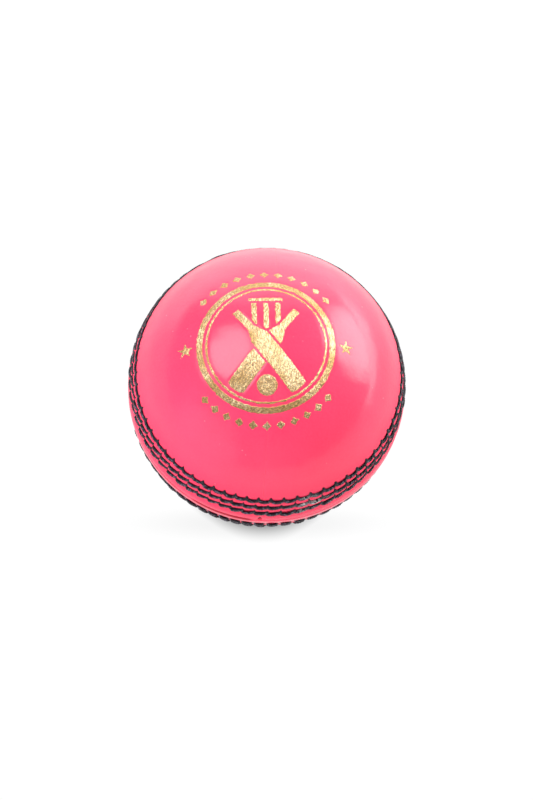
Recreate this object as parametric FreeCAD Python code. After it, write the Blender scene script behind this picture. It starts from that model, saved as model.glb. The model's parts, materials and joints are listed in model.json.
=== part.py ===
"""Cricket ball, hand-sewn four-piece construction.

A cork nucleus is wound with worsted yarn and quilted with cork strips in turn, then bound with
twine. Four lining patches and four leather quarters close over it. The quarters are sewn in pairs
into two cups, and the cups are drawn together along the seam by the closing lacing. Six rows of
thread stand on the seam, three on each cup, and a gold foil stamp lies on the upper cup.

Frame: the origin is the centre of the ball, +Z is the pole of the stamped cup, the seam lies in
the plane Z = 0, and +Y is the top of the stamp. Lengths are in mm, angles in degrees.
"""

import FreeCAD
import Part

import math
import os

from FreeCAD import Vector

# ---------------------------------------------------------------- driving dimensions
BALL_RADIUS = 35.7          # leather surface away from the seam
LEATHER_THICKNESS = 3.6
LINING_THICKNESS = 0.8
TWINE_THICKNESS = 2.0       # outer binding of the core
LAYER_PAIRS = 4             # yarn winding and cork wrap, in turn
YARN_THICKNESS = 2.6
CORK_THICKNESS = 2.0
CLEARANCE = 0.05            # between a layer and the next

STITCHES = 66               # in each of the six rows
STITCH_PITCH = 360.0 / STITCHES
STITCH_GAP = 0.35           # degrees of longitude between two stitches
SEAM_TURN = -3.8            # the upper quarter seam is this far off the stamp's own axis
LOWER_TURN = 17 * STITCH_PITCH  # the lower quarter seam, a quarter turn to the nearest stitch

#          row       latitude  thread radius  height of the thread's centre over BALL_RADIUS
ROWS = {
    "inner": (7.5, 0.46, 0.00),
    "middle": (12.2, 0.40, -0.03),
    "outer": (16.6, 0.40, -0.05),
}
LOCKED_ROWS = ("middle", "outer")   # sewn to one cup and locked on the inside of its leather
LEG_RADIUS = 0.32
LOCK_THREAD_RADIUS = 0.35
LACING_RADIUS = 0.40
LACING_DEPTH = 2.3          # of the lacing under BALL_RADIUS where it passes from cup to cup
THREAD_ROOM = 0.04          # between a thread and the hole or groove that it lies in
TUNNEL_OVERRUN = 6.0        # degrees of bend by which a thread's tunnel outruns the thread

RIDGES = (                  # latitude and height of each ridge's crest, from the closing line out
    (3.3, 0.28),
    (9.9, 0.20),
    (14.4, 0.17),
    (18.9, 0.07),
)
LIP = (0.2, 0.06)           # leather edge at the closing line
RIDGE_FOOT = -0.05          # height of the leather at the rows
SEAM_EDGE = 21.5            # latitude where the ridges have died out

SEAM_STITCHES = 25          # hidden stitches of one quarter seam
SEAM_STITCH_RANGE = 62.0    # from the pole to the last of them, each way
SEAM_STITCH_REACH = 2.0     # either side of the quarter seam
SEAM_STITCH_RISE = 1.9      # above the inner face of the leather
SEAM_THREAD_RADIUS = 0.30

FOIL_THICKNESS = 0.10
FOIL_LIFT = 0.02            # adhesive under the foil
STAMP_SHIFT = Vector(-1.8, 0.0, 0.0)    # middle of the stamp from the pole
RING_RADII = ((17.5, 16.0), (15.3, 14.8))   # outer and inner radius of each ring
BAT_LENGTH = 25.0
BAT_BLADE = (15.5, 4.8)     # length, width
BAT_HANDLE_WIDTH = 1.9
BAT_LEAN = 38.0             # each bat from the stamp's axis
BAT_OFFSET = 1.0            # the crossing lies this far under the middle of the rings
BAT_OUTLINE = 0.6           # bare leather kept around the front bat
STUMP_SPACING = 3.0
STUMP_SIZE = (1.3, 14.5)    # width, height
STUMP_FOOT = -3.5
BAIL_SIZE = (8.4, 0.9)
MOTIF_BALL_RADIUS = 2.6
MOTIF_BALL_PLACE = -10.8
LOZENGE_CIRCLE = 20.2
LOZENGE_SIZE = (2.3, 1.9)
LOZENGE_STEP = 10.0
LOZENGE_ARCS = ((90.0, 11), (270.0, 11))    # middle of the arc, number of lozenges
STAR_PLACE = 20.2
STAR_RADII = (1.9, 0.8)

# ---------------------------------------------------------------- worked out from them
INNER_FACE = BALL_RADIUS - LEATHER_THICKNESS
LINING_OUTER = INNER_FACE - LOCK_THREAD_RADIUS - CLEARANCE
TWINE_OUTER = LINING_OUTER - LINING_THICKNESS - CLEARANCE
WOUND_OUTER = TWINE_OUTER - TWINE_THICKNESS
NUCLEUS_RADIUS = WOUND_OUTER - LAYER_PAIRS * (YARN_THICKNESS + CORK_THICKNESS)

CENTRE = Vector(0, 0, 0)
X_AXIS = Vector(1, 0, 0)
Y_AXIS = Vector(0, 1, 0)
Z_AXIS = Vector(0, 0, 1)


def polar(latitude, radius):
    """Point in the plane Y = 0 at a latitude above the seam."""
    angle = math.radians(latitude)
    return Vector(radius * math.cos(angle), 0, radius * math.sin(angle))


def turned(shape, degrees, axis=Z_AXIS):
    copy = shape.copy()
    copy.rotate(CENTRE, axis, degrees)
    return copy


def ring_of(shape, count=STITCHES):
    """The same solid at every stitch of a row."""
    return [turned(shape, index * 360.0 / count) for index in range(count)]


def arc(start, through, end):
    return Part.Arc(start, through, end).toShape()


def line(start, end):
    return Part.LineSegment(start, end).toShape()


def face_of(edges):
    return Part.Face(Part.Wire(edges))


def write(node, solids):
    """One STEP for one node: a single solid, or a group of separate ones."""
    shape = solids[0] if len(solids) == 1 else Part.makeCompound(solids)
    shape.exportStep(f"parts/{node}.step")
    print(f"{node}: {len(solids)} solid(s), {shape.Volume / 1000:.3f} cm3, valid {shape.isValid()}")


# ---------------------------------------------------------------- core
def shell(outer, inner):
    """Closed spherical layer."""
    return Part.makeSphere(outer).cut(Part.makeSphere(inner)).Solids[0]


def gore(outer, inner, width):
    """Part of a spherical layer from pole to pole, width degrees wide, from longitude 0."""
    profile = face_of([
        line(polar(-90, outer), polar(-90, inner)),
        arc(polar(-90, inner), polar(0, inner), polar(90, inner)),
        line(polar(90, inner), polar(90, outer)),
        arc(polar(90, outer), polar(0, outer), polar(-90, outer)),
    ])
    return profile.revolve(CENTRE, Z_AXIS, width)


def cork_strips(outer, inner, layer):
    """Four cork strips that wrap one winding, each layer turned from the last."""
    count = 4
    gap = math.degrees(2 * CLEARANCE / inner)
    strip = gore(outer, inner, 360.0 / count - gap)
    strips = ring_of(strip, count)
    return [turned(turned(item, 90.0, X_AXIS), 45.0 * layer) for item in strips]


def write_core():
    write("cork_nucleus", [Part.makeSphere(NUCLEUS_RADIUS)])
    radius = NUCLEUS_RADIUS
    for layer in range(1, LAYER_PAIRS + 1):
        winding = shell(radius + YARN_THICKNESS, radius + CLEARANCE)
        write(f"yarn_winding_{layer}", [winding])
        radius += YARN_THICKNESS
        strips = cork_strips(radius + CORK_THICKNESS, radius + CLEARANCE, layer)
        write(f"cork_wrap_{layer}", strips)
        radius += CORK_THICKNESS
    write("twine_binding", [shell(TWINE_OUTER, WOUND_OUTER + CLEARANCE)])


# ---------------------------------------------------------------- threads
def arc_rod(start, through, end, radius, overrun=0.0):
    """Round rod bent along the arc through three points, and past both ends by an angle."""
    path = arc(start, through, end)
    tangent = path.tangentAt(path.FirstParameter)
    section = face_of([Part.Circle(start, tangent, radius).toShape()])
    section.rotate(path.Curve.Center, path.Curve.Axis, -overrun)
    sweep = math.degrees(path.LastParameter - path.FirstParameter) + 2 * overrun
    return section.revolve(path.Curve.Center, path.Curve.Axis, sweep)


def row_bar(row, extra=0.0, sweep=360.0):
    """Thread, or with extra room the groove that it lies in, along a row's latitude."""
    latitude, radius, height = ROWS[row]
    centre = polar(latitude, BALL_RADIUS + height)
    return Part.makeTorus(centre.x, radius + extra, Vector(0, 0, centre.z), Z_AXIS, -180, 180, sweep)


def row_leg(row, radius, depth):
    """Straight thread, or hole, from a row down through the leather to a depth."""
    latitude, _, height = ROWS[row]
    outward = polar(latitude, 1)
    length = BALL_RADIUS + height - depth
    return Part.makeCylinder(radius, length, polar(latitude, depth), outward)


def leg_turn(row):
    """Longitude of a stitch's leg from the start of its bar, so that it stays under the bar."""
    latitude, radius, height = ROWS[row]
    return math.degrees(radius / polar(latitude, BALL_RADIUS + height).x)


def stitch(row):
    """One stitch: the bar on the surface and, in a locked row, the leg through the leather."""
    bar = row_bar(row, sweep=STITCH_PITCH - STITCH_GAP)
    if row not in LOCKED_ROWS:
        return bar
    leg = row_leg(row, LEG_RADIUS, INNER_FACE + LOCK_THREAD_RADIUS + THREAD_ROOM)
    return bar.fuse(turned(leg, leg_turn(row))).removeSplitter().Solids[0]


def lacing(extra=0.0, overrun=0.0):
    """One crossing of the closing thread, from under the upper inner row to under the lower."""
    latitude, radius, height = ROWS["inner"]
    top = BALL_RADIUS + height - radius - LACING_RADIUS
    ends = polar(latitude, top), polar(-latitude, top)
    middle = polar(0, BALL_RADIUS - LACING_DEPTH)
    return arc_rod(ends[0], middle, ends[1], LACING_RADIUS + extra, overrun)


def quarter_seam_stitch(extra=0.0, overrun=0.0):
    """Hidden stitch over the pole that holds two quarters edge to edge from the inside."""
    left = Vector(0, -SEAM_STITCH_REACH, INNER_FACE)
    right = Vector(0, SEAM_STITCH_REACH, INNER_FACE)
    crown = Vector(0, 0, INNER_FACE + SEAM_STITCH_RISE)
    return arc_rod(left, crown, right, SEAM_THREAD_RADIUS + extra, overrun)


def along_quarter_seam(shape):
    """Copies of a shape along the quarter seam in the plane Y = 0, over the upper pole."""
    step = 2 * SEAM_STITCH_RANGE / (SEAM_STITCHES - 1)
    return [turned(shape, index * step - SEAM_STITCH_RANGE, Y_AXIS) for index in range(SEAM_STITCHES)]


def lock_ring(row, extra=0.0):
    """Thread on the inside of the leather that locks the legs of a row."""
    centre = polar(ROWS[row][0], INNER_FACE)
    return Part.makeTorus(centre.x, LOCK_THREAD_RADIUS + extra, Vector(0, 0, centre.z))


# ---------------------------------------------------------------- cover
def cup_profile():
    """Section of a cup: lip, ridges between the rows, plain leather to the pole, inner face."""
    feet = [LIP]
    feet += [(ROWS[row][0], RIDGE_FOOT) for row in ("inner", "middle", "outer")]
    feet += [(SEAM_EDGE, 0.0)]
    edges = []
    for (start, low), (crest, high), (end, next_low) in zip(feet, RIDGES, feet[1:]):
        edges.append(arc(
            polar(start, BALL_RADIUS + low),
            polar(crest, BALL_RADIUS + high),
            polar(end, BALL_RADIUS + next_low),
        ))
    edges.append(arc(polar(SEAM_EDGE, BALL_RADIUS), polar(50, BALL_RADIUS), polar(90, BALL_RADIUS)))
    edges.append(line(polar(90, BALL_RADIUS), polar(90, INNER_FACE)))
    edges.append(arc(polar(90, INNER_FACE), polar(45, INNER_FACE), polar(LIP[0], INNER_FACE)))
    edges.append(line(polar(LIP[0], INNER_FACE), polar(LIP[0], BALL_RADIUS + LIP[1])))
    return face_of(edges)


def leather_quarter():
    """Half a cup, over the side Y > 0, with its grooves, awl holes and thread tunnels."""
    gap = math.degrees(CLEARANCE / BALL_RADIUS)
    body = turned(cup_profile().revolve(CENTRE, Z_AXIS, 180.0 - gap), gap / 2)
    tools = [row_bar(row, THREAD_ROOM) for row in ROWS]
    tools += [lock_ring(row, THREAD_ROOM) for row in LOCKED_ROWS]
    tools += along_quarter_seam(quarter_seam_stitch(THREAD_ROOM, TUNNEL_OVERRUN))
    holes = [
        turned(row_leg(row, LEG_RADIUS + THREAD_ROOM, INNER_FACE - THREAD_ROOM), leg_turn(row))
        for row in LOCKED_ROWS
    ]
    holes.append(lacing(THREAD_ROOM, TUNNEL_OVERRUN))
    for index in range(STITCHES // 2):
        longitude = (index + 0.5) * STITCH_PITCH
        tools += [turned(hole, longitude) for hole in holes]
    return body.cut(tools).Solids[0]


def lining_patch():
    """Half a lining cup, over the side Y > 0."""
    outer = LINING_OUTER
    inner = outer - LINING_THICKNESS
    edge = math.degrees(CLEARANCE / inner)
    profile = face_of([
        arc(polar(edge, outer), polar(45, outer), polar(90, outer)),
        line(polar(90, outer), polar(90, inner)),
        arc(polar(90, inner), polar(45, inner), polar(edge, inner)),
        line(polar(edge, inner), polar(edge, outer)),
    ])
    return turned(profile.revolve(CENTRE, Z_AXIS, 180.0 - edge), edge / 2)


def upper(shape, turn=0.0):
    """Place on the upper cup, measured from its quarter seam."""
    return turned(shape, SEAM_TURN - 90.0 + turn)


def lower(shape, turn=0.0):
    """Place on the lower cup: turned over, and its quarter seam a quarter turn round."""
    return turned(turned(shape, 180.0, X_AXIS), SEAM_TURN - 90.0 + LOWER_TURN + turn)


def write_cover():
    patch = lining_patch()
    write("upper_lining_front", [upper(patch, -90.0)])
    write("upper_lining_back", [upper(patch, 90.0)])
    write("lower_lining_left", [lower(patch, 90.0)])
    write("lower_lining_right", [lower(patch, -90.0)])
    quarter = leather_quarter()
    write("upper_quarter_right", [upper(quarter)])
    write("upper_quarter_left", [upper(quarter, 180.0)])
    write("lower_quarter_back", [lower(quarter, 180.0)])
    write("lower_quarter_front", [lower(quarter)])
    seam = along_quarter_seam(quarter_seam_stitch())
    write("upper_quarter_seam_thread", [upper(item) for item in seam])
    write("lower_quarter_seam_thread", [lower(item) for item in seam])


def write_stitching():
    half_pitch = STITCH_PITCH / 2
    crossings = ring_of(turned(lacing(), half_pitch))
    write("closing_lacing", [upper(item) for item in crossings])
    for row in ROWS:
        stitches = ring_of(turned(stitch(row), half_pitch))
        write(f"upper_{row}_stitch_row", [upper(item) for item in stitches])
        write(f"lower_{row}_stitch_row", [lower(item) for item in stitches])
    for row in LOCKED_ROWS:
        write(f"upper_{row}_lock_thread", [lock_ring(row)])
        write(f"lower_{row}_lock_thread", [turned(lock_ring(row), 180.0, X_AXIS)])


# ---------------------------------------------------------------- foil stamp
def plate(edges):
    """Flat outline drawn in the stamp's plane, as a prism that reaches through the upper face."""
    return face_of(edges).extrude(Vector(0, 0, 2 * BALL_RADIUS))


def outline(points):
    corners = [Vector(x, y, 0) for x, y in points]
    return plate([line(start, end) for start, end in zip(corners, corners[1:] + corners[:1])])


def disc(radius, x=0.0, y=0.0):
    return Part.makeCylinder(radius, 2 * BALL_RADIUS, Vector(x, y, 0))


def block(width, height, x, y):
    """Rectangle centred on x, with its foot at y."""
    return Part.makeBox(width, height, 2 * BALL_RADIUS, Vector(x - width / 2, y, 0))


def bat(lean, margin=0.0):
    """Bat with its handle up, leaning about the crossing; margin widens its outline."""
    blade_length, blade_width = BAT_BLADE
    blade = blade_width / 2 + margin
    handle = BAT_HANDLE_WIDTH / 2 + margin
    foot = -BAT_LENGTH / 2 - margin
    shoulder = foot + margin + blade_length
    neck = shoulder + blade_width * 0.7
    top = BAT_LENGTH / 2 + margin
    toe = Vector(0, foot - blade_width * 0.18, 0)
    corners = [
        Vector(-blade, foot, 0),
        Vector(blade, foot, 0),
        Vector(blade, shoulder, 0),
        Vector(handle, neck, 0),
        Vector(handle, top, 0),
        Vector(-handle, top, 0),
        Vector(-handle, neck, 0),
        Vector(-blade, shoulder, 0),
    ]
    edges = [arc(corners[0], toe, corners[1])]
    edges += [line(start, end) for start, end in zip(corners[1:], corners[2:] + corners[:1])]
    shape = turned(plate(edges), lean)
    shape.translate(Vector(0, -BAT_OFFSET, 0))
    return shape


def star(x, y):
    tip, notch = STAR_RADII
    points = []
    for index in range(10):
        radius = notch if index % 2 else tip
        angle = math.radians(90 + 36 * index)
        points.append((x + radius * math.cos(angle), y + radius * math.sin(angle)))
    return outline(points)


def lozenge(angle):
    """Small lozenge on a circle round the rings, its long axis along the circle."""
    long_half, short_half = LOZENGE_SIZE[0] / 2, LOZENGE_SIZE[1] / 2
    shape = outline([
        (LOZENGE_CIRCLE - short_half, 0),
        (LOZENGE_CIRCLE, -long_half),
        (LOZENGE_CIRCLE + short_half, 0),
        (LOZENGE_CIRCLE, long_half),
    ])
    return turned(shape, angle)


def foil(node, prisms):
    """The foil under each prism, as thin pieces that follow the leather."""
    base = BALL_RADIUS + FOIL_LIFT
    leaf = Part.makeSphere(base + FOIL_THICKNESS).cut(Part.makeSphere(base))
    pieces = []
    for prism in prisms:
        placed = prism.translated(STAMP_SHIFT)
        pieces += leaf.common(placed).Solids
    write(node, pieces)


def write_stamp():
    foil("foil_rings", [disc(outer).cut(disc(inner)) for outer, inner in RING_RADII])
    front_bat = bat(BAT_LEAN)
    clear_of_front = bat(BAT_LEAN, BAT_OUTLINE)
    back_bat = bat(-BAT_LEAN)
    clear_of_back = bat(-BAT_LEAN, BAT_OUTLINE)
    foil("foil_front_bat", [front_bat])
    foil("foil_back_bat", [back_bat.cut(clear_of_front)])
    width, height = STUMP_SIZE
    bails = block(*BAIL_SIZE, 0.0, STUMP_FOOT + height + BAT_OUTLINE)
    stumps = [block(width, height, side * STUMP_SPACING, STUMP_FOOT) for side in (-1, 0, 1)]
    wicket = [item.cut([clear_of_front, clear_of_back]) for item in stumps + [bails]]
    foil("foil_wicket", wicket)
    foil("foil_ball", [disc(MOTIF_BALL_RADIUS, 0.0, MOTIF_BALL_PLACE)])
    lozenges = []
    for middle, count in LOZENGE_ARCS:
        first = middle - LOZENGE_STEP * (count - 1) / 2
        lozenges += [lozenge(first + LOZENGE_STEP * index) for index in range(count)]
    foil("foil_lozenges", lozenges)
    foil("foil_stars", [star(-STAR_PLACE, 0.0), star(STAR_PLACE, 0.0)])


def main():
    os.makedirs("parts", exist_ok=True)
    write_core()
    write_cover()
    write_stitching()
    write_stamp()


main()
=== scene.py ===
"""Cricket ball with a pink leather cover, six rows of black stitches and a gold foil stamp.

The frame holds the core, the lining and the hidden threads. This script models what shows, in
fine mesh: four leather quarters, six stitch rows and the foil. Lengths are in millimetres and
angles in degrees until a mesh is made. Longitude 0 is the front, -Y, and it grows towards +X.
"""

import json
import math

import bpy
import numpy as np
from mathutils import Matrix, Vector


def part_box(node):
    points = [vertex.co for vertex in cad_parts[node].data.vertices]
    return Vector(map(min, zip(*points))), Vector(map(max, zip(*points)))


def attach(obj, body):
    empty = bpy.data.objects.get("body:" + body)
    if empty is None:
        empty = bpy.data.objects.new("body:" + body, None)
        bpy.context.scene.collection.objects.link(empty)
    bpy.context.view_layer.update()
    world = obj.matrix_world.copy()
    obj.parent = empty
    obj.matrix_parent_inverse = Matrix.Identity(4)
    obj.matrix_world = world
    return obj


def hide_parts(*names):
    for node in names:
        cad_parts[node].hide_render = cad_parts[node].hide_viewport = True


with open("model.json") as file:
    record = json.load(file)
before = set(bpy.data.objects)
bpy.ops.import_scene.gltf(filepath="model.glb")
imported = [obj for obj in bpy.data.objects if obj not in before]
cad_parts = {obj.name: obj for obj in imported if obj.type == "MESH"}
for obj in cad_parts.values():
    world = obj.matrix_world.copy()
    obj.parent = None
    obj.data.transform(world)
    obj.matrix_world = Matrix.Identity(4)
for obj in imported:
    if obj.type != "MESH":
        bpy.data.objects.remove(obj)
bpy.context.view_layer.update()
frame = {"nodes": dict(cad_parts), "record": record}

# ---------------------------------------------------------------- sizes
MM = 0.001
RADIUS = round(-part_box("lower_quarter_front")[0].z / MM, 1)
LEATHER = 3.6
STITCHES = 66
PITCH = 360.0 / STITCHES
SEAM_TURN = -3.8                # longitude where the upper quarter seam meets the closing line
LOWER_TURN = 17 * PITCH         # the lower quarter seam from the upper
FIRST_HOLE = -0.1
PITCH_DRIFT = (2.65, 24.0)      # sewn by hand: the stitches slip this far within this reach of 0

# latitude, centre height over RADIUS, half width and half thickness of each row of thread
ROWS = {
    "inner": (8.0, -0.16, 0.74, 0.38),
    "middle": (12.2, -0.12, 0.64, 0.36),
    "outer": (16.6, -0.14, 0.62, 0.35),
}
# How far each row wanders off its latitude: up on both sides, up on the right, down in front,
# there within a longitude and reach.
WANDER = {"inner": (1.2, 0.5, 0.8), "middle": (0.5, 0.0, 0.1), "outer": (0.1, 0.0, 0.2)}
WANDER_DIP = (8, 16)
# How far each cup's stitches rise in front and elsewhere, and how much deeper they dip into
# their holes in front.
PROUD = {1: (0.0, 0.0, 0.0), -1: (0.30, -0.18, 0.80)}
# One stitch from awl hole to awl hole: share of the pitch, latitude from the row, height from
# the row's centre and share of the half width.
SCALLOP = (
    (-0.03, 3.45, -0.35, 0.32),
    (0.02, 2.20, 0.14, 0.48),
    (0.08, 0.90, 0.08, 0.82),
    (0.20, 0.14, 0.02, 1.04),
    (0.45, -0.20, 0.02, 1.10),
    (0.70, -0.06, 0.02, 1.08),
    (0.86, 0.30, 0.04, 0.98),
    (0.95, 1.05, 0.10, 0.74),
    (1.03, 3.30, -0.35, 0.32),
)
SLANT = (
    (-0.06, -0.50, -0.80, 0.55),
    (0.04, -0.78, -0.04, 0.84),
    (0.16, -0.76, 0.03, 1.02),
    (0.35, -0.45, 0.05, 1.08),
    (0.58, 0.02, 0.06, 1.04),
    (0.78, 0.52, 0.03, 0.94),
    (0.92, 1.15, 0.03, 0.78),
    (1.00, 1.90, -0.08, 0.56),
    (1.05, 2.50, -0.60, 0.40),
)
# How much a row's stitches slant on the right of the front and on its left.
LEAN = {"inner": (0.65, 1.0), "middle": (0.12, 0.95), "outer": (0.0, 0.15)}
LEAN_CHANGE = (-12, 1.2)        # longitude where the slant is halfway, and how fast it changes
HOLE_PHASE = {"inner": -0.9, "middle": -0.8, "outer": 0.0}
PLIES = 3
TWISTS = 2.1                    # turns of the plies in one stitch

# Latitude and height of the leather: closing line, ridge crests and row beds in turn.
LEATHER_KNOTS = (
    (0.0, -0.06),
    (1.0, 0.02),
    (3.8, 0.05),
    (8.0, -0.32),
    (10.1, 0.00),
    (12.2, -0.26),
    (14.4, 0.02),
    (16.6, -0.24),
    (20.0, 0.02),
    (23.0, 0.0),
    (91.0, 0.0),
)
SAG = (2.4, 11.0)               # the seam lies this far under the ball's middle, and its reach
LIP = 0.03                      # latitude of the leather's edge at the closing line


# ---------------------------------------------------------------- small tools
def eased(knots, values):
    """Smooth curve through (place, height) knots, flat at each knot."""
    places, heights = np.array(knots).T
    index = np.clip(np.searchsorted(places, values) - 1, 0, len(places) - 2)
    span = places[index + 1] - places[index]
    share = np.clip((values - places[index]) / span, 0, 1)
    rise = heights[index + 1] - heights[index]
    return heights[index] + rise * (1 - np.cos(np.pi * share)) / 2


def spline(knots, values):
    """Catmull-Rom curve through knots of (place, a, b, ...), one column for each of a, b, ..."""
    table = np.array(knots)
    places = table[:, 0]
    slopes = np.gradient(table[:, 1:], places, axis=0)
    index = np.clip(np.searchsorted(places, values) - 1, 0, len(places) - 2)
    span = (places[index + 1] - places[index])[..., None]
    u = (values - places[index])[..., None] / span
    start, end = table[index, 1:], table[index + 1, 1:]
    rise = 3 * u**2 - 2 * u**3
    tangents = (u**3 - 2 * u**2 + u) * slopes[index] + (u**3 - u**2) * slopes[index + 1]
    return start + (end - start) * rise + tangents * span


def bump(distance, width):
    return np.exp(-((distance / width) ** 2))


def waves(points, wavelength, seed, count=14):
    """Smooth seeded noise over space with a mean square of one."""
    rng = np.random.default_rng(seed)
    headings = rng.normal(size=(count, 3))
    headings /= np.linalg.norm(headings, axis=1)[:, None]
    lengths = wavelength * rng.uniform(0.7, 1.4, count)
    phases = rng.uniform(0, 2 * np.pi, count)
    total = np.zeros(points.shape[:-1])
    for heading, length, phase in zip(headings, lengths, phases):
        total += np.sin(points @ heading * 2 * np.pi / length + phase)
    return total / math.sqrt(count / 2)


def outward(longitude, latitude):
    """Unit vector at a longitude and latitude."""
    lon, lat = np.radians(longitude), np.radians(latitude)
    return np.stack([np.sin(lon) * np.cos(lat), -np.cos(lon) * np.cos(lat), np.sin(lat)], -1)


def sagging(latitude):
    """Latitude of a place on the cover, after the whole seam has sunk towards the lower cup."""
    depth, reach = SAG
    return latitude - depth * bump(latitude, reach)


def turn_between(longitude, other):
    """Longitude less other, from -180 to 180."""
    return (longitude - other + 180) % 360 - 180


def make_piece(name, points, faces, nodes, material):
    """Mesh object from points in mm, on the root body, in place of the CAD nodes."""
    mesh = bpy.data.meshes.new(name)
    mesh.from_pydata((np.asarray(points) * MM).tolist(), [], faces)
    mesh.validate()
    mesh.shade_smooth()
    mesh.materials.append(material)
    piece = bpy.data.objects.new(name, mesh)
    bpy.context.scene.collection.objects.link(piece)
    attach(piece, "root")
    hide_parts(*nodes)
    return piece


def paint(piece, name, values):
    """Store one number for each vertex, for the material to read."""
    layer = piece.data.attributes.new(name, "FLOAT", "POINT")
    layer.data.foreach_set("value", np.asarray(values, np.float32).ravel())


# ---------------------------------------------------------------- stamp outlines
RINGS = ((17.5, 16.0), (15.3, 14.8))
BAT_LENGTH = 25.0
BAT_BLADE = (15.5, 4.8)
BAT_HANDLE_WIDTH = 1.9
BAT_LEAN = 38.0
BAT_OFFSET = 1.0
BAT_OUTLINE = 0.6
STUMP_SPACING = 3.0
STUMP_SIZE = (1.3, 14.5)
STUMP_FOOT = -3.5
BAIL_SIZE = (8.4, 0.9)
MOTIF_BALL_RADIUS = 2.6
MOTIF_BALL_PLACE = -10.8
OUTER_CIRCLE = 20.2
LOZENGE_SIZE = (2.3, 1.9)
LOZENGE_STEP = 10.0
LOZENGE_COUNT = 11              # in the arc above the rings and in the one below them
STAR_RADII = (1.9, 0.8)
STAMP_SHIFT = -1.8              # middle of the stamp from the pole, along X
STAMP_REACH = 23.0              # from the stamp's middle to beyond its last lozenge


def polygon(corners, x, y):
    """Signed distance to a closed polygon, negative inside."""
    nearest = np.full(x.shape, np.inf)
    inside = np.zeros(x.shape, bool)
    for (ax, ay), (bx, by) in zip(corners, corners[1:] + corners[:1]):
        ex, ey = bx - ax, by - ay
        share = np.clip(((x - ax) * ex + (y - ay) * ey) / (ex * ex + ey * ey), 0, 1)
        nearest = np.minimum(nearest, np.hypot(x - ax - share * ex, y - ay - share * ey))
        if ay != by:
            crosses = (ay > y) != (by > y)
            inside ^= crosses & (x < ex * (y - ay) / ey + ax)
    return np.where(inside, -nearest, nearest)


def turned(x, y, degrees):
    """Coordinates in a frame that leans by an angle."""
    c, s = math.cos(math.radians(degrees)), math.sin(math.radians(degrees))
    return x * c + y * s, y * c - x * s


def bat(x, y, lean):
    u, v = turned(x, y + BAT_OFFSET, lean)
    length, width = BAT_BLADE
    half, grip = width / 2, BAT_HANDLE_WIDTH / 2
    foot, top = -BAT_LENGTH / 2, BAT_LENGTH / 2
    shoulder = foot + length
    turns = np.linspace(0, np.pi, 9)
    toe = [(half * math.cos(a), foot - width * 0.18 * math.sin(a)) for a in turns]
    upper = [(-half, shoulder), (-grip, shoulder + width * 0.7), (-grip, top)]
    return polygon(toe[::-1] + [(-px, py) for px, py in upper] + upper[::-1], u, v)


def block(x, y, width, height, centre, foot):
    corners = [(-0.5, 0), (0.5, 0), (0.5, 1), (-0.5, 1)]
    return polygon([(centre + a * width, foot + b * height) for a, b in corners], x, y)


def rings_outline(x, y):
    radius = np.hypot(x, y)
    return np.minimum.reduce([np.maximum(radius - a, b - radius) for a, b in RINGS])


def front_bat_outline(x, y):
    return bat(x, y, BAT_LEAN)


def back_bat_outline(x, y):
    return np.maximum(bat(x, y, -BAT_LEAN), BAT_OUTLINE - bat(x, y, BAT_LEAN))


def wicket_outline(x, y):
    width, height = STUMP_SIZE
    shapes = [block(x, y, width, height, k * STUMP_SPACING, STUMP_FOOT) for k in (-1, 0, 1)]
    shapes.append(block(x, y, *BAIL_SIZE, 0.0, STUMP_FOOT + height + BAT_OUTLINE))
    cut = BAT_OUTLINE - np.minimum(bat(x, y, BAT_LEAN), bat(x, y, -BAT_LEAN))
    return np.maximum(np.minimum.reduce(shapes), cut)


def ball_outline(x, y):
    return np.hypot(x, y - MOTIF_BALL_PLACE) - MOTIF_BALL_RADIUS


def lozenges_outline(x, y):
    long_half, short_half = LOZENGE_SIZE[0] / 2, LOZENGE_SIZE[1] / 2
    place = OUTER_CIRCLE
    corners = [(place - short_half, 0), (place, -long_half)]
    corners += [(place + short_half, 0), (place, long_half)]
    reach = LOZENGE_STEP * (LOZENGE_COUNT - 1) / 2
    shapes = []
    for middle in (90.0, 270.0):
        for angle in np.linspace(middle - reach, middle + reach, LOZENGE_COUNT):
            shapes.append(polygon(corners, *turned(x, y, angle)))
    return np.minimum.reduce(shapes)


def stars_outline(x, y):
    angles = np.radians(90 + 36 * np.arange(10))
    radii = np.where(np.arange(10) % 2, STAR_RADII[1], STAR_RADII[0])
    shapes = []
    for side in (-1, 1):
        corners = list(zip(side * OUTER_CIRCLE + radii * np.cos(angles), radii * np.sin(angles)))
        shapes.append(polygon(corners, x, y))
    return np.minimum.reduce(shapes)


STAMP = {
    "foil_rings": rings_outline,
    "foil_front_bat": front_bat_outline,
    "foil_back_bat": back_bat_outline,
    "foil_wicket": wicket_outline,
    "foil_ball": ball_outline,
    "foil_lozenges": lozenges_outline,
    "foil_stars": stars_outline,
}


# ---------------------------------------------------------------- leather
LEATHER_COLUMNS = 480
SEAM_EDGE = 23.0                # latitude where the fine rows of the mesh end
POLE_EDGE = 89.7                # latitude of the last row before the pole
SEAM_LATITUDES = np.concatenate([
    np.linspace(LIP, 2.0, 14, endpoint=False),
    np.linspace(2.0, SEAM_EDGE, 84, endpoint=False),
])
CAP_LATITUDES = SEAM_EDGE + (POLE_EDGE - SEAM_EDGE) * np.linspace(0, 1, 84)
INNER_LATITUDES = np.linspace(POLE_EDGE, LIP, 12)

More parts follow.
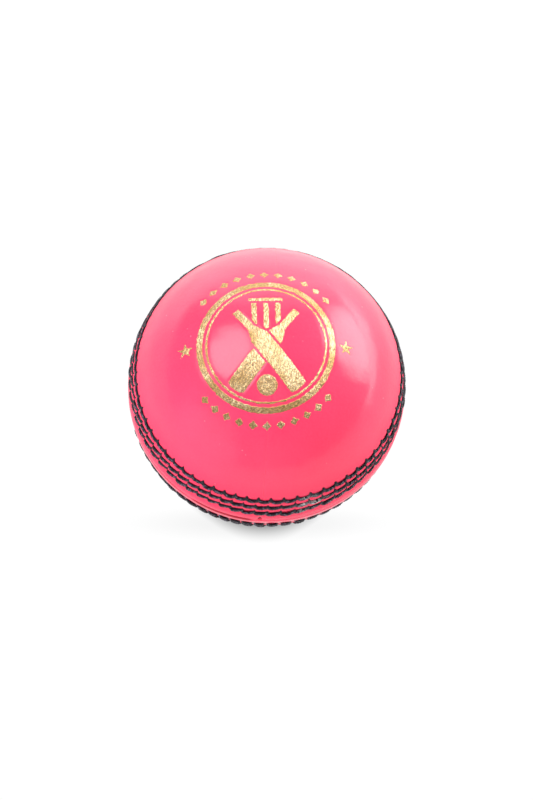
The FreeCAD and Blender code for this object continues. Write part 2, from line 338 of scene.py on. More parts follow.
SLOT = (-20, 11, 2.5)           # longitude, half length and fade of the open slot in front
SHUT = (0.22, 0.30, -45, 9)     # opening elsewhere in front, more of it here, within this reach
UNEVEN_GAP = (0.9, 0.5, 0.2, 0.9)   # opening at the back: wavelength, swing, middle and most
BACK_START = (50, 20)           # longitude from the front where the back starts, and its fade
GAP_DEPTH = (0.60, 0.85)        # of the closing line where it is open, and its half width
# strength of the painted shade in the open closing line
GAP_SHADE_STRENGTH = 0.75
GAP_SHADE = {1: 0.9, -1: 2.1}   # how far the painted shade of the closing line reaches over each cup
BED = (0.20, 0.22, 0.9, 0.25)   # under a stitch: depth, painted shade, share of its width, least width
PUCKER = (0.08, 0.16, -1.7, 0.8)    # height, share of a stitch, latitude from the row, reach
AWL_HOLE = (0.22, 2.6, 0.55)    # depth, latitude from the row and radius
BEAD = (0.022, 0.65, 0.4)       # beside a quarter seam: height, distance from it and width
GROOVE = (0.030, 0.22)          # of a quarter seam: depth and width
NICK = (0.55, 0.52, 1.8, 2.4)   # where it meets the closing line: depth, width, latitude, reach; painted shade fills it
HOLLOWS = (0.045, 22.0)         # broad unevenness of the leather: height and wavelength
RIPPLES = (0.010, 5.0)
CALM = (3, 25, 0.25)            # the hollows fade in from this latitude, over this, from this
STAMP_PRESS = (0.05, 0.45, 0.35)    # depth, distance from the foil where it ends, its width
GAP_SEED = 31
HOLLOW_SEED = 5
RIPPLE_SEED = 7
POLISH = {1: (0.3, 1.0), -1: (0.8, 1.0)}    # of each cup's lacquer, in the seam and away from it
POLISH_START = (19.5, 9)        # latitude where the lacquer starts to shine more, and its fade


def hole_longitudes(row):
    """Longitudes of a row's awl holes, closer together on one side of the ball."""
    even = (np.arange(STITCHES) - STITCHES // 2) * PITCH
    slip, reach = PITCH_DRIFT
    return even + slip * (1 - bump(even, reach)) + FIRST_HOLE + HOLE_PHASE[row]


def stitch_share(row, longitude):
    """How far along its stitch each longitude is, from 0 to 1."""
    holes = np.sort(hole_longitudes(row))
    wrapped = (longitude - holes[0]) % 360 + holes[0]
    edges = np.append(holes, holes[0] + 360)
    index = np.clip(np.searchsorted(edges, wrapped, "right") - 1, 0, STITCHES - 1)
    return (wrapped - edges[index]) / (edges[index + 1] - edges[index])


def leaning(row, longitude):
    """Share of the slanted shape in a row's stitches, more on the left of the front."""
    place, pace = LEAN_CHANGE
    leftness = np.clip(0.5 - pace * np.sin(np.radians(longitude - place)), 0, 1)
    least, most = LEAN[row]
    return least + (most - least) * leftness


def wander(row, longitude):
    """How far a row strays from its latitude."""
    even, odd, dip = WANDER[row]
    place, reach = WANDER_DIP
    across = np.sin(np.radians(longitude))
    return even * across**2 + odd * across - dip * bump(turn_between(longitude, place), reach)


def stitch_path(row, longitude, share):
    """Latitude, height and share of the full width of the thread."""
    latitude, height, _, _ = ROWS[row]
    mix = leaning(row, longitude)[..., None]
    shape = spline(SCALLOP, share) * (1 - mix) + spline(SLANT, share) * mix
    latitude = latitude + wander(row, longitude)
    return latitude + shape[..., 0], height + shape[..., 1], shape[..., 2]


def gap_share(longitude):
    """How far the closing line stands open, from 0 to 1, round the seam."""
    place, half, fade = SLOT
    slot = bump(np.maximum(np.abs(turn_between(longitude, place)) - half, 0), fade)
    wavelength, swing, middle, most = UNEVEN_GAP
    ring = outward(longitude, np.zeros_like(longitude))
    uneven = np.clip(waves(ring, wavelength, GAP_SEED) * swing + middle, 0, most)
    start, fade = BACK_START
    at_back = np.clip((np.abs(turn_between(longitude, 0)) - start) / fade, 0, 1)
    least, more, place, reach = SHUT
    shut = least + more * bump(turn_between(longitude, place), reach)
    return np.clip(np.maximum(slot, np.maximum(shut, uneven * at_back)), 0, 1)


def seam_distance(longitude, latitude, seam):
    """Distance along the surface from a cup's quarter seam."""
    side = np.sin(np.radians(longitude - seam)) * np.cos(np.radians(latitude))
    return RADIUS * np.abs(side)


def stamp_depth(longitude, latitude):
    """How far the leather is pressed in under the foil."""
    place = outward(longitude, latitude) * RADIUS
    share = np.zeros(longitude.shape)
    x, y = place[..., 0] - STAMP_SHIFT, place[..., 1]
    near = (latitude > 45) & (np.hypot(x, y) < STAMP_REACH)
    x, y = x[near], y[near]
    nearest = np.minimum.reduce([outline(x, y) for outline in STAMP.values()])
    depth, edge, width = STAMP_PRESS
    share[near] = np.clip((edge - nearest) / width, 0, 1)
    return depth * (share**2 * (3 - 2 * share))


def press_row(height, crevice_shade, longitude, high, row):
    """Leather with the bed of a row's stitches, the puckers between them and the awl holes, and
    painted shade in the bed.
    """
    share = stitch_share(row, longitude)
    path, _, width_share = stitch_path(row, longitude, share)
    across = (high - path) * np.radians(RADIUS)
    depth, dark, width, least = BED
    bed = bump(across, np.maximum(ROWS[row][2] * width_share, least) * width)
    height = height - depth * bed
    # painted shade in the bed of the stitches
    crevice_shade = np.maximum(crevice_shade, dark * bed)
    from_hole = np.minimum(share, 1 - share)
    middle = ROWS[row][0] + wander(row, longitude)
    rise, length, below, reach = PUCKER
    height = height + rise * bump(from_hole, length) * bump(high - middle - below, reach)
    depth, above, radius = AWL_HOLE
    hole = bump(np.hypot(from_hole * PITCH, high - (middle + above)), radius)
    return height - depth * hole, crevice_shade


def quarter_seam(height, crevice_shade, distance, high):
    """Leather with the groove of the quarter seam, its beads and the nick at its foot, with
    painted shade in the nick.
    """
    rise, place, width = BEAD
    depth, groove_width = GROOVE
    bead = rise * bump(distance - place, width)
    height = height + (bead - depth * bump(distance, groove_width))
    depth, width, latitude, reach = NICK
    nick = bump(distance, width) * bump(high - latitude, reach)
    return height - depth * nick, np.maximum(crevice_shade, nick)


def leather_surface(longitude, latitude, side, seam):
    """Height over RADIUS, and how much painted shade its crevices get, for one cup; side is 1 or
    -1.
    """
    high = np.abs(latitude)
    opening = gap_share(longitude)
    depth, width = GAP_DEPTH
    height = eased(LEATHER_KNOTS, high) - opening * depth * bump(high, width)
    # painted shade over the open closing line
    crevice_shade = GAP_SHADE_STRENGTH * opening * bump(high, GAP_SHADE[side])
    for row in ROWS:
        height, crevice_shade = press_row(height, crevice_shade, longitude, high, row)
    distance = seam_distance(longitude, latitude, seam)
    height, crevice_shade = quarter_seam(height, crevice_shade, distance, high)
    points = outward(longitude, latitude) * RADIUS
    start, fade, least = CALM
    rise, wavelength = HOLLOWS
    calm = np.clip((high - start) / fade, least, 1)
    height += rise * waves(points, wavelength, HOLLOW_SEED + side) * calm
    rise, wavelength = RIPPLES
    height += rise * waves(points, wavelength, RIPPLE_SEED + side)
    if side > 0:
        height -= stamp_depth(longitude, latitude)
    return height, crevice_shade


def grid_faces(rows, width, first=0):
    """Quads between neighbouring rows of points, width points to a row."""
    faces = []
    for row in range(rows - 1):
        for column in range(width - 1):
            a = first + row * width + column
            faces.append((a, a + 1, a + 1 + width, a + width))
    return faces


def shell_faces(outer_rows, inner_rows, width):
    """Skin and lining, their fans at the pole, the lip between them and the two cut ends."""
    total = (outer_rows + inner_rows) * width
    top, bottom = total, total + 1
    faces = grid_faces(outer_rows, width) + grid_faces(inner_rows, width, outer_rows * width)
    for column in range(width - 1):
        a = (outer_rows - 1) * width + column
        faces.append((a, a + 1, top))
        faces.append((a + width + 1, a + width, bottom))
        last = total - width + column
        faces.append((last, last + 1, column + 1, column))
    for edge in (0, width - 1):
        skin = [row * width + edge for row in range(outer_rows)]
        lining = [row * width + edge for row in range(outer_rows, outer_rows + inner_rows)]
        rim = skin + [top, bottom] + lining
        faces.append(tuple(rim[::-1] if edge == 0 else rim))
    return faces


def leather_quarter(name, node, side, seam, first):
    """Half of one cup, over the half turn of longitude from first."""
    columns = first + np.linspace(0, 180, LEATHER_COLUMNS + 1)
    outer = np.concatenate([SEAM_LATITUDES, CAP_LATITUDES]) * side
    lon, lat = np.meshgrid(columns, outer)
    height, crevice_shade = leather_surface(lon, lat, side, seam)
    skin = outward(lon, sagging(lat)) * (RADIUS + height)[..., None]
    lon_in, lat_in = np.meshgrid(columns, INNER_LATITUDES * side)
    lining = outward(lon_in, lat_in) * (RADIUS - LEATHER)
    pole_height, _ = leather_surface(np.array([seam]), np.array([90.0 * side]), side, seam)
    poles = np.array([[0, 0, side * (RADIUS + pole_height[0])], [0, 0, side * (RADIUS - LEATHER)]])
    points = np.concatenate([skin.reshape(-1, 3), lining.reshape(-1, 3), poles])
    faces = shell_faces(len(outer), len(INNER_LATITUDES), LEATHER_COLUMNS + 1)
    if side < 0:
        faces = [face[::-1] for face in faces]
    piece = make_piece(name, points, faces, [node], leather)
    dull, shiny = POLISH[side]
    start, fade = POLISH_START
    polish = dull + (shiny - dull) * np.clip((np.abs(lat) - start) / fade, 0, 1)
    # painted shade in the crevices, and the lacquer's coat, one number for each point
    for layer, values in (("crevice_shade", crevice_shade), ("polish", polish)):
        full = np.zeros(len(points))
        full[:values.size] = values.ravel()
        paint(piece, layer, full)
    return piece


# ---------------------------------------------------------------- stitches
TUBE_SIDES = 10
TUBE_STEPS = 30
PLY_OFFSET = 0.45               # of a ply's centre and its radius, as shares of the thread's
PLY_RADIUS = 0.56
TWIST_RANGE = (0.9, 1.12)       # least and most of the twist of one stitch, as shares
STRAY = {"inner": 0.32, "middle": 0.18, "outer": 0.14}     # of a stitch from its row
HEIGHT_STRAY = 0.04
WIDTH_STRAY = 0.07
CROWN = (0.6, 0.4)              # how much a ply's place and a point's place on it count towards the painted highlight
CROWN_LOSS = (0.8, 0.08)        # less painted highlight at the awl holes: how much, and within which share of a stitch
PROUD_PLACE = (-14, 50)         # middle and reach of the front in PROUD
DIP_REACH = 0.18                # share of a stitch
# longitude, reach and strength of the rubbed stretch of each row of the upper cup
WORN = {"inner": (14.0, 3.0, 0.5), "middle": (17.5, 5.0, 1.8), "outer": (16.0, 3.0, 0.8)}


def stitch_run(row, side, rng):
    """Share along its stitch, path, outward direction, longitude and half width of the thread."""
    holes = np.sort(hole_longitudes(row))
    gaps = np.diff(np.append(holes, holes[0] + 360))
    share = np.linspace(SCALLOP[0][0], SCALLOP[-1][0], TUBE_STEPS)[None, :]
    lon = holes[:, None] + gaps[:, None] * share
    lat, height, width_share = stitch_path(row, lon, np.broadcast_to(share, lon.shape))
    middle = np.sin(np.pi * np.clip(share, 0, 1))
    lat = lat + rng.normal(0, STRAY[row], (STITCHES, 1)) * middle
    lat = lat + rng.normal(0, STRAY[row], (STITCHES, 1)) * middle * (share - 0.5)
    front, back, dip = PROUD[side]
    place, reach = PROUD_PLACE
    in_front = bump(turn_between(lon, place), reach)
    height = height + back + (front - back) * in_front
    height = height - dip * in_front * bump(np.minimum(share, 1 - share), DIP_REACH)
    height = height + rng.normal(0, HEIGHT_STRAY, (STITCHES, 1)) * middle
    width = ROWS[row][2] * width_share * (1 + rng.normal(0, WIDTH_STRAY, (STITCHES, 1)))
    up = outward(lon, sagging(lat * side))
    return share, up * (RADIUS + height)[..., None], up, lon, width


def across_and_over(path, up):
    """Unit vectors across a thread and out of the ball at every point of its path."""
    along = np.gradient(path, axis=1)
    along /= np.linalg.norm(along, axis=2)[..., None]
    across = np.cross(along, up)
    across /= np.linalg.norm(across, axis=2)[..., None]
    return across, np.cross(across, along)


def twisted_plies(path, up, share, width, thickness, side, rng):
    """Points round every ply of every stitch, and how near the top of its ply each point is, for
    the painted highlight.
    """
    across, over = across_and_over(path, up)
    around = np.linspace(0, 2 * np.pi, TUBE_SIDES, endpoint=False)
    ring = across[:, :, None] * (width[..., None] * np.cos(around))[..., None]
    ring = ring + over[:, :, None] * (thickness[..., None] * np.sin(around))[..., None]
    loss, reach = CROWN_LOSS
    in_hole = bump(np.minimum(share, 1 - share), reach)[..., None]
    by_ply, by_point = CROWN
    start = rng.uniform(0, 2 * np.pi, (STITCHES, 1))
    turns = TWISTS * rng.uniform(*TWIST_RANGE, (STITCHES, 1))
    plies, crown_highlights = [], []
    for ply in range(PLIES):
        angle = start + 2 * np.pi * (ply / PLIES + turns * share * side)
        centre = path + across * (PLY_OFFSET * width * np.cos(angle))[..., None]
        centre = centre + over * (PLY_OFFSET * thickness * np.sin(angle))[..., None]
        plies.append(centre[:, :, None] + PLY_RADIUS * ring)
        crown_highlight = np.sin(angle)[..., None] * by_ply + np.sin(around) * by_point
        crown_highlights.append(crown_highlight - loss * in_hole)
    return np.stack(plies, 1), np.stack(crown_highlights, 1)


def tube_faces(tubes):
    """Faces of closed tubes, TUBE_SIDES points round and TUBE_STEPS points long."""
    steps = np.arange(TUBE_STEPS - 1)
    step, corner = np.meshgrid(steps, np.arange(TUBE_SIDES), indexing="ij")
    following = (corner + 1) % TUBE_SIDES
    low, high = step * TUBE_SIDES, (step + 1) * TUBE_SIDES
    quads = np.stack([low + corner, low + following, high + following, high + corner], -1)
    quads = quads.reshape(-1, 4)
    cap = np.arange(TUBE_SIDES)
    size = TUBE_STEPS * TUBE_SIDES
    faces = []
    for first in range(0, tubes * size, size):
        faces += (quads + first).tolist()
        faces.append((cap[::-1] + first).tolist())
        faces.append((cap + first + size - TUBE_SIDES).tolist())
    return faces


def stitch_row(name, node, row, side, seed):
    """One row of plied stitches. Each dives into its awl holes at both ends."""
    rng = np.random.default_rng(seed)
    share, path, up, lon, width = stitch_run(row, side, rng)
    _, _, half_width, half_thickness = ROWS[row]
    thickness = width * half_thickness / half_width
    points, crown_highlight = twisted_plies(path, up, share, width, thickness, side, rng)
    faces = tube_faces(STITCHES * PLIES)
    piece = make_piece(name, points.reshape(-1, 3), faces, [node], thread)
    # where the painted highlight falls on the plies
    paint(piece, "crown_highlight", crown_highlight)
    centre, reach, strength = WORN[row]
    rubbed = np.sin(np.pi * np.clip(share, 0, 1))
    worn = strength * bump(turn_between(lon, centre), reach) * (side > 0) * rubbed
    paint(piece, "worn", np.broadcast_to(worn[:, None, :, None], points.shape[:-1]))
    return piece


# ---------------------------------------------------------------- foil
FOIL_CELL = 0.13                # of the grid that each leaf is cut from
FOIL_THICKNESS = 0.05
FOIL_LIFT = 0.028               # of the leaf's face over the leather
LEAST_STEEPNESS = 0.2           # keeps an edge point from flying off where the outline is flat
MOST_SHIFT = 0.8                # of an edge point, as a share of a cell
RAGGED = ((0.045, 0.9), (0.03, 0.4))        # height and wavelength of the uneven edge
CRINKLE = ((0.006, 1.1), (0.003, 0.5))      # the same of the face


def uneven(points, layers, seed):
    """Sum of layers of waves, with seeds that follow each other."""
    total = np.zeros(points.shape[:-1])
    for index, (height, wavelength) in enumerate(layers):
        total += height * waves(points, wavelength, seed + index)
    return total


def cut_leaf(outline, seed):
    """Grid over the stamp, its edge cells pulled onto the ragged outline, and what is kept."""
    count = int(2 * STAMP_REACH / FOIL_CELL)
    ticks = (np.arange(count + 1) - count / 2) * FOIL_CELL
    x, y = np.meshgrid(ticks, ticks, indexing="ij")

    def ragged(px, py):
        return outline(px, py) + uneven(np.stack([px, py, np.zeros_like(px)], -1), RAGGED, seed)

    middle = FOIL_CELL / 2
    kept = ragged(x[:-1, :-1] + middle, y[:-1, :-1] + middle) < 0
    used = np.zeros(x.shape, int)
    for dx in (0, 1):
        for dy in (0, 1):
            used[dx:dx + count, dy:dy + count] += kept
    on_edge = (used > 0) & (used < 4)
    step = FOIL_CELL / 4
    distance = ragged(x[on_edge], y[on_edge])
    slope_x = (ragged(x[on_edge] + step, y[on_edge]) - distance) / step
    slope_y = (ragged(x[on_edge], y[on_edge] + step) - distance) / step
    steepness = np.maximum(slope_x**2 + slope_y**2, LEAST_STEEPNESS)
    most = MOST_SHIFT * FOIL_CELL
    shift = np.clip(distance / steepness, -most, most)
    x[on_edge] -= shift * slope_x
    y[on_edge] -= shift * slope_y
    return x, y, kept, used > 0


def leaf_faces(kept, inside):
    """Face, back and edge walls of a leaf over the kept cells of a grid."""
    total = inside.sum()
    number = np.full(inside.shape, -1)
    number[inside] = np.arange(total)
    i, j = np.nonzero(kept)
    quads = np.stack([number[i, j], number[i + 1, j], number[i + 1, j + 1], number[i, j + 1]], -1)
    edges = np.concatenate([quads[:, [k, (k + 1) % 4]] for k in range(4)])
    low, high = edges.min(1), edges.max(1)
    _, where, repeats = np.unique(low * total + high, return_index=True, return_counts=True)
    border = edges[where[repeats == 1]]
    walls = np.stack([border[:, 1], border[:, 0], border[:, 0] + total, border[:, 1] + total], -1)
    return np.concatenate([quads, quads[:, ::-1] + total, walls]).tolist()


def foil_piece(node, outline, seed):
    """Thin leaf over one outline of the stamp, with a ragged edge, on the pressed leather."""
    x, y, kept, inside = cut_leaf(outline, seed)
    px, py = x[inside] + STAMP_SHIFT, y[inside]
    rise = np.sqrt(RADIUS**2 - px**2 - py**2)
    longitude = np.degrees(np.arctan2(px, -py))
    latitude = np.degrees(np.arcsin(rise / RADIUS))
    height, _ = leather_surface(longitude, latitude, 1, SEAM_TURN)
    place = np.stack([px, py, rise], -1)
    face = RADIUS + height + FOIL_LIFT
    top = place / RADIUS * (face + uneven(place, CRINKLE, seed + 2))[:, None]
    base = place / RADIUS * (face - FOIL_THICKNESS)[:, None]
    name = node.replace("foil_", "leaf_")
    points = np.concatenate([top, base])
    return make_piece(name, points, leaf_faces(kept, inside), [node], foil)


# ---------------------------------------------------------------- materials
class Nodes:
    """Small helper to write the node tree of a material or of the room."""

    def __init__(self, owner):
        owner.use_nodes = True
        self.owner = owner
        self.tree = owner.node_tree

    def add(self, kind, **settings):
        node = self.tree.nodes.new(kind)
        for key, value in settings.items():
            setattr(node, key, value)
        return node

    def link(self, source, target):
        self.tree.links.new(source, target)

    def place(self, scale=(1, 1, 1), origin=(0, 0, 0), turn=0.0):
        """Position from origin in mm in the ball's frame, stretched by scale, turned about Z."""
        mapping = self.add("ShaderNodeMapping")
        mapping.inputs["Rotation"].default_value = (0, 0, math.radians(turn))
        mapping.inputs["Scale"].default_value = [s / MM for s in scale]
        mapping.inputs["Location"].default_value = [-s * o for s, o in zip(scale, origin)]
        self.link(self.add("ShaderNodeTexCoord").outputs["Object"], mapping.inputs["Vector"])
        return mapping.outputs["Vector"]

    def noise(self, scale, detail=3.0, stretch=(1, 1, 1), roughness=0.5, turn=0.0):
        node = self.add("ShaderNodeTexNoise")
        node.inputs["Scale"].default_value = scale
        node.inputs["Detail"].default_value = detail
        node.inputs["Roughness"].default_value = roughness
        self.link(self.place(stretch, turn=turn), node.inputs["Vector"])
        return node.outputs["Fac"]

    def cells(self, scale, feature="F1", stretch=(1, 1, 1)):
        node = self.add("ShaderNodeTexVoronoi", feature=feature)
        node.inputs["Scale"].default_value = scale
        self.link(self.place(stretch), node.inputs["Vector"])
        return node.outputs["Distance"]

    def attribute(self, name):
        return self.add("ShaderNodeAttribute", attribute_name=name).outputs["Fac"]

    def span(self, value, low, high, start=0.0, end=1.0, shape="LINEAR"):
        """Value from low to high, mapped to start to end and held beyond."""
        node = self.add("ShaderNodeMapRange", interpolation_type=shape)
        ends = {"From Min": low, "From Max": high, "To Min": start, "To Max": end}
        for key, number in ends.items():
            node.inputs[key].default_value = number
        self.link(value, node.inputs["Value"])
        return node.outputs["Result"]

    def math(self, operation, first, second):
        node = self.add("ShaderNodeMath", operation=operation)
        for socket, value in zip(node.inputs, (first, second)):
            if isinstance(value, (int, float)):
                socket.default_value = value
            else:
                self.link(value, socket)
        return node.outputs[0]

    def mix(self, share, first, second):
        """Colour between first and second, each a colour or an output."""
        node = self.add("ShaderNodeMix", data_type="RGBA")
        self.link(share, node.inputs[0])
        for socket, value in zip((node.inputs[6], node.inputs[7]), (first, second)):
            if isinstance(value, tuple):
                socket.default_value = (*value, 1)
            else:
                self.link(value, socket)
        return node.outputs[2]

    def relief(self, height, distance, strength=1.0, under=None):
        """Bump of a height map whose full range stands distance mm high."""
        node = self.add("ShaderNodeBump")
        node.inputs["Distance"].default_value = distance * MM
        node.inputs["Strength"].default_value = strength
        self.link(height, node.inputs["Height"])
        if under is not None:
            self.link(under, node.inputs["Normal"])
        return node.outputs["Normal"]

    def surface(self, **inputs):
        """Set or link the Principled shader's sockets; an underscore stands for a space."""
        for key, value in inputs.items():
            socket = self.tree.nodes["Principled BSDF"].inputs[key.replace("_", " ")]
            if isinstance(value, bpy.types.NodeSocket):
                self.link(value, socket)
            else:
                socket.default_value = value


def leather_material():
    n = Nodes(bpy.data.materials.new("pink_leather"))
    patches = n.span(n.noise(0.07, 2.0), 0.35, 0.65)
    mottled = n.mix(patches, (0.950, 0.036, 0.100), (0.930, 0.042, 0.112))
    grain = n.span(n.noise(1.6, 4.0), 0.3, 0.7)
    grained = n.mix(n.math("MULTIPLY", grain, 0.35), mottled, (0.97, 0.056, 0.135))
    specks = n.span(n.cells(0.42), 0.10, 0.03)
    chance = n.span(n.noise(0.33, 1.0), 0.56, 0.62)
    few = n.math("MULTIPLY", specks, n.math("MULTIPLY", chance, 0.6))
    specked = n.mix(few, grained, (1, 0.30, 0.36))
    # Painted shade: dark red in the closing line, the stitch beds and the nicks, near black where
    # deepest.
    crevice_shade = n.attribute("crevice_shade")
    shaded = n.mix(n.span(crevice_shade, 0.12, 0.70), specked, (0.36, 0.0, 0.012))
    black = n.mix(n.span(crevice_shade, 0.75, 1.0), shaded, (0.012, 0.0, 0.002))
    pores = n.relief(n.cells(1.7, "SMOOTH_F1"), 0.030, 0.55)
    peel = n.relief(n.noise(0.85, 3.0), 0.085, 0.55, pores)
    n.surface(
        Base_Color=black,
        Roughness=n.span(n.noise(0.25, 3.0), 0.3, 0.7, 0.50, 0.60),
        Specular_IOR_Level=0.10,
        Coat_Weight=n.attribute("polish"),
        Coat_Roughness=0.17,
        Coat_IOR=1.45,
        Normal=peel,
        Coat_Normal=n.relief(n.noise(0.85, 3.0), 0.050, 0.5),
    )
    return n.owner


def thread_material():
    n = Nodes(bpy.data.materials.new("black_thread"))
    fibres = n.noise(3.2, 3.0, (1, 1, 2.4))
    dark = n.mix(n.span(fibres, 0.35, 0.7), (0.004, 0.003, 0.005), (0.016, 0.012, 0.021))
    # Painted highlight: pale glints on the tops of the plies.
    crown_highlight = n.span(n.attribute("crown_highlight"), 0.10, 0.80)
    painted_glints = n.math("MULTIPLY", crown_highlight, n.span(n.noise(1.5, 2.0), 0.53, 0.62))
    glinting_thread = n.mix(painted_glints, dark, (0.15, 0.135, 0.18))
    worn = n.math("MULTIPLY", n.attribute("worn"), n.span(n.noise(1.9, 3.0), 0.44, 0.54))
    n.surface(
        Base_Color=n.mix(worn, glinting_thread, (0.50, 0.54, 0.52)),
        Roughness=n.span(fibres, 0.3, 0.7, 0.36, 0.60),
        Specular_IOR_Level=0.30,
        Normal=n.relief(n.noise(6.0, 3.0, (1, 1, 2.0)), 0.10, 0.8),
    )
    return n.owner


def foil_material():
    n = Nodes(bpy.data.materials.new("gold_foil"))
    tone = n.span(n.noise(0.16, 3.0), 0.40, 0.60)
    gold = n.mix(tone, (0.58, 0.38, 0.16), (0.90, 0.70, 0.43))
    streaks = n.noise(2.2, 4.0, (1.7, 0.5, 1.0), 0.65, -35.0)
    flakes = n.noise(2.6, 5.0, (1, 1, 1), 0.7)
    bare = n.math("MAXIMUM", n.span(flakes, 0.66, 0.72), n.span(streaks, 0.70, 0.75))
    # darker brown along the crinkle streaks
    rubbed = n.mix(n.span(streaks, 0.40, 0.62), gold, (0.42, 0.25, 0.10))
    n.surface(
        Base_Color=n.mix(bare, rubbed, (0.80, 0.035, 0.085)),
        Metallic=n.span(bare, 0.0, 1.0, 1.0, 0.0),
        Roughness=n.span(flakes, 0.3, 0.7, 0.15, 0.32),
        Normal=n.relief(streaks, 0.30, 1.0, n.relief(flakes, 0.12, 0.8)),
    )
    return n.owner


def cork_material():
    n = Nodes(bpy.data.materials.new("cork"))
    granules = n.cells(0.55)
    tone = n.mix(n.span(n.noise(0.9, 4.0), 0.3, 0.7), (0.30, 0.16, 0.07), (0.56, 0.35, 0.18))
    pits = n.span(n.cells(1.1), 0.0, 0.22)
    n.surface(
        Base_Color=n.mix(pits, (0.12, 0.06, 0.03), tone),
        Roughness=0.85,
        Normal=n.relief(granules, 0.30, 0.7),
    )
    return n.owner


def yarn_material(name, light, dark, pitch):
    """Strands of yarn or twine, laid side by side, pitch mm apart."""
    n = Nodes(bpy.data.materials.new(name))
    wave = n.add("ShaderNodeTexWave", wave_type="RINGS", rings_direction="SPHERICAL")
    wave.inputs["Scale"].default_value = 0.3 / pitch
    wave.inputs["Distortion"].default_value = 7.0
    wave.inputs["Detail Scale"].default_value = 1.3
    n.link(n.place((1, 1.6, 0.6)), wave.inputs["Vector"])
    strands = wave.outputs["Fac"]
    fibres = n.noise(4.0, 4.0)
    shade = n.math("MULTIPLY", strands, n.span(fibres, 0.2, 0.8, 0.7, 1.0))
    n.surface(
        Base_Color=n.mix(shade, dark, light),
        Roughness=0.9,
        Normal=n.relief(strands, 0.5, 0.8, n.relief(fibres, 0.08, 0.6)),
    )
    return n.owner


def lining_material():
    n = Nodes(bpy.data.materials.new("lining_leather"))
    tone = n.span(n.noise(0.5, 5.0), 0.3, 0.7)
    n.surface(
        Base_Color=n.mix(tone, (0.36, 0.22, 0.12), (0.58, 0.41, 0.26)),
        Roughness=0.8,
        Normal=n.relief(n.noise(2.5, 5.0), 0.12, 0.7),
    )
    return n.owner


# ---------------------------------------------------------------- camera, lights, floor
BALL_OUTER = 35.75              # radius of the leather where it meets the backdrop
BALL_SHARE = 0.17325            # that radius as a share of the picture's height
BALL_OFFSET = (0.000125, 0.0165)    # shares that the ball is right of and above the middle
CAMERA_DISTANCE = 1200.0
SENSOR = 36.0
# The picture's right and up in the ball's frame.
VIEW_RIGHT = Vector((0.9984, -0.0172, 0.0520))
VIEW_UP = Vector((0.0, 0.9496, 0.3136))


def make_camera():
    right = VIEW_RIGHT.normalized()
    back = right.cross(VIEW_UP).normalized()
    up = back.cross(right)
    picture_height = BALL_OUTER / BALL_SHARE
    camera = bpy.data.cameras.new("camera")
    camera.sensor_width = SENSOR
    camera.lens = SENSOR * CAMERA_DISTANCE / picture_height
    camera.clip_start, camera.clip_end = 0.05, 20.0
    holder = bpy.data.objects.new("camera", camera)
    shift = (right * -BALL_OFFSET[0] + up * -BALL_OFFSET[1]) * picture_height
    place = (back * CAMERA_DISTANCE + shift) * MM
    turn = Matrix((right, up, back)).transposed().to_4x4()
    holder.matrix_world = Matrix.Translation(place) @ turn
    bpy.context.scene.collection.objects.link(holder)
    bpy.context.scene.camera = holder
    return right, up, back


def softbox(name, direction, distance, size, power, colour):
    """Square light that faces the ball and is not mirrored in it."""
    lamp = bpy.data.lights.new(name, "AREA")
    lamp.size = size * MM
    lamp.energy = power
    lamp.color = colour
    holder = bpy.data.objects.new(name, lamp)
    away = Vector(direction).normalized()
    holder.location = away * distance * MM
    holder.rotation_mode = "QUATERNION"
    holder.rotation_quaternion = away.to_track_quat("Z", "Y")
    holder.visible_camera = False
    holder.visible_glossy = False
    bpy.context.scene.collection.objects.link(holder)


# Bright and dark areas of the room: direction to the right, up and towards the camera, half
# angles of the even middle and of the outer edge, and radiance.
LEFT_BOX = ((-0.46, 0.44, 0.77), 14, 29, 6.0)
RIGHT_BOX = ((0.885, 0.465, 0.03), 14, 29, 6.8)
OVERHEAD = ((0.0, 0.97, -0.26), 14, 46, 1.7)
LOW_LEFT = ((-0.72, -0.60, 0.34), 6, 34, 0.9)
CAMERA_SIDE = ((0.10, -0.05, 0.99), 20, 45, 0.85)
BACKDROP_GAP = ((0.80, 0.50, -0.33), 22, 31, 0.9)
ROOM_LEVEL = 0.34
BACKDROP_LEVEL = 2.1
BACKDROP_EDGE = (0.22, 0.50)


def make_room(axes):
    """Dim room with a white backdrop behind the ball and two soft boxes that it mirrors."""
    n = Nodes(bpy.data.worlds.new("room"))
    view = n.add("ShaderNodeTexCoord").outputs["Generated"]

    def facing(direction):
        aim = n.add("ShaderNodeVectorMath", operation="DOT_PRODUCT")
        aim.inputs[1].default_value = in_room(axes, direction).normalized()
        n.link(view, aim.inputs[0])
        return aim.outputs["Value"]

    def patch(area):
        direction, inner, outer, level = area
        low, high = math.cos(math.radians(outer)), math.cos(math.radians(inner))
        return n.span(facing(direction), low, high, 0.0, level, "SMOOTHSTEP")

    def less(value, area):
        return n.math("MULTIPLY", value, n.math("SUBTRACT", 1.0, patch(area)))

    backdrop = n.span(facing((0, 0, -1)), *BACKDROP_EDGE, 0.0, BACKDROP_LEVEL, "SMOOTHSTEP")
    light = n.math("ADD", less(ROOM_LEVEL, CAMERA_SIDE), less(backdrop, BACKDROP_GAP))
    for area in (LEFT_BOX, RIGHT_BOX, OVERHEAD, LOW_LEFT):
        light = n.math("ADD", light, patch(area))
    n.link(light, n.tree.nodes["Background"].inputs["Color"])
    bpy.context.scene.world = n.owner


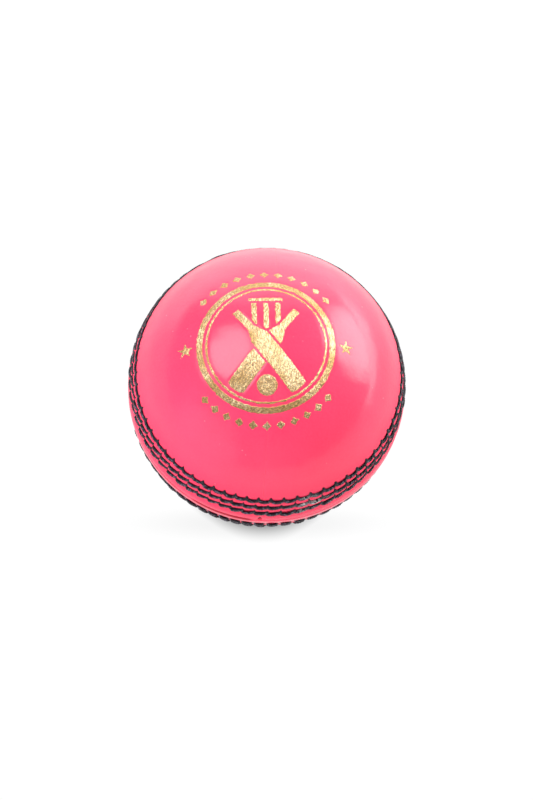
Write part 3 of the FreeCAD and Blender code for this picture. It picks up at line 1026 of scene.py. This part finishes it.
# Ellipses of floor: centre, half axes, share of them that is even, and change of light. The
# first three make the contact shadow and the others are only seen mirrored in the lacquer.
SHADOWS = (
    ((0.0, 0.0), (27.0, 27.0), 0.40, 0.95),
    ((0.4, -14.0), (22.5, 18.3), 0.50, 0.97),
    ((-1.0, -26.0), (45.0, 7.0), 0.0, 0.14),
)
GLOWS = (
    ((1200.0, 300.0), (1060.0, 560.0), 0.70, 3.5),
    ((80.0, 1100.0), (900.0, 1060.0), 0.86, 0.9),
)
FLOOR_REACH = 3000.0
FLOOR_LEVEL = 1.02
# Direction as for the room, distance, size, power and colour of each lamp.
LAMPS = {
    "front_fill": ((0.1, -0.2, 0.98), 1100, 500, 4.0, (1.0, 1.0, 1.0)),
    "low_fill": ((0.0, -0.86, 0.50), 800, 400, 0.9, (1.0, 1.0, 1.0)),
    "left_fill": ((-0.90, -0.25, 0.30), 800, 400, 2.1, (0.72, 0.42, 1.0)),
}


def make_floor():
    """Glowing white floor with the soft grey contact shadow painted on it."""
    mesh = bpy.data.meshes.new("floor")
    far = FLOOR_REACH * MM
    corners = [(-far, -far), (far, -far), (far, far), (-far, far)]
    mesh.from_pydata([(x, y, -RADIUS * MM) for x, y in corners], [], [(0, 1, 2, 3)])
    n = Nodes(bpy.data.materials.new("white_floor"))

    def ellipse(centre, axes, even, level):
        radius = n.add("ShaderNodeVectorMath", operation="LENGTH")
        n.link(n.place((1 / axes[0], 1 / axes[1], 0), (*centre, 0)), radius.inputs[0])
        return n.span(radius.outputs["Value"], even, 1.0, level, 0.0, "SMOOTHSTEP")

    shade = 0.0
    for area in SHADOWS:
        shade = n.math("MAXIMUM", shade, ellipse(*area))
    light = n.math("SUBTRACT", 1.0, shade)
    for area in GLOWS:
        light = n.math("ADD", light, ellipse(*area))
    n.surface(Base_Color=(0, 0, 0, 1), Specular_IOR_Level=0.0)
    n.surface(Emission_Color=light, Emission_Strength=FLOOR_LEVEL)
    mesh.materials.append(n.owner)
    floor = bpy.data.objects.new("floor", mesh)
    bpy.context.scene.collection.objects.link(floor)


def in_room(axes, direction):
    """Direction from its parts to the right, up and towards the camera."""
    return sum((axis * part for axis, part in zip(axes, direction)), Vector())


def make_lights(axes):
    for name, (direction, *rest) in LAMPS.items():
        softbox(name, in_room(axes, direction), *rest)


# ---------------------------------------------------------------- build
leather = leather_material()
thread = thread_material()
foil = foil_material()

CAD_FINISHES = {
    "cork": cork_material(),
    "core_yarn": yarn_material("core_yarn", (0.74, 0.69, 0.58), (0.40, 0.35, 0.27), 1.2),
    "binding_twine": yarn_material("binding_twine", (0.64, 0.55, 0.40), (0.30, 0.24, 0.15), 0.9),
    "hidden_thread": yarn_material("hidden_thread", (0.66, 0.58, 0.44), (0.34, 0.28, 0.19), 0.5),
    "lining_leather": lining_material(),
}


def finish_cad_nodes():
    """Give every CAD node that stays its own procedural finish."""
    for part in frame["record"]["subparts"]:
        finish = CAD_FINISHES.get(part["material_slot"])
        if finish is not None:
            mesh = frame["nodes"][part["node"]].data
            mesh.materials.clear()
            mesh.materials.append(finish)


room_axes = make_camera()
make_room(room_axes)
make_lights(room_axes)
make_floor()
finish_cad_nodes()

STITCH_SEED = 100
FOIL_SEED = 200
lower_seam = SEAM_TURN + LOWER_TURN
leather_quarter("cover_upper_right", "upper_quarter_right", 1, SEAM_TURN, SEAM_TURN)
leather_quarter("cover_upper_left", "upper_quarter_left", 1, SEAM_TURN, SEAM_TURN + 180)
leather_quarter("cover_lower_back", "lower_quarter_back", -1, lower_seam, lower_seam)
leather_quarter("cover_lower_front", "lower_quarter_front", -1, lower_seam, lower_seam + 180)

for cup, side in (("upper", 1), ("lower", -1)):
    for index, row in enumerate(ROWS):
        seed = STITCH_SEED + 10 * side + index
        stitch_row(f"{cup}_{row}_stitches", f"{cup}_{row}_stitch_row", row, side, seed)

for index, (node, outline) in enumerate(STAMP.items()):
    foil_piece(node, outline, FOIL_SEED + 10 * index)

bpy.context.scene.view_settings.view_transform = "Standard"
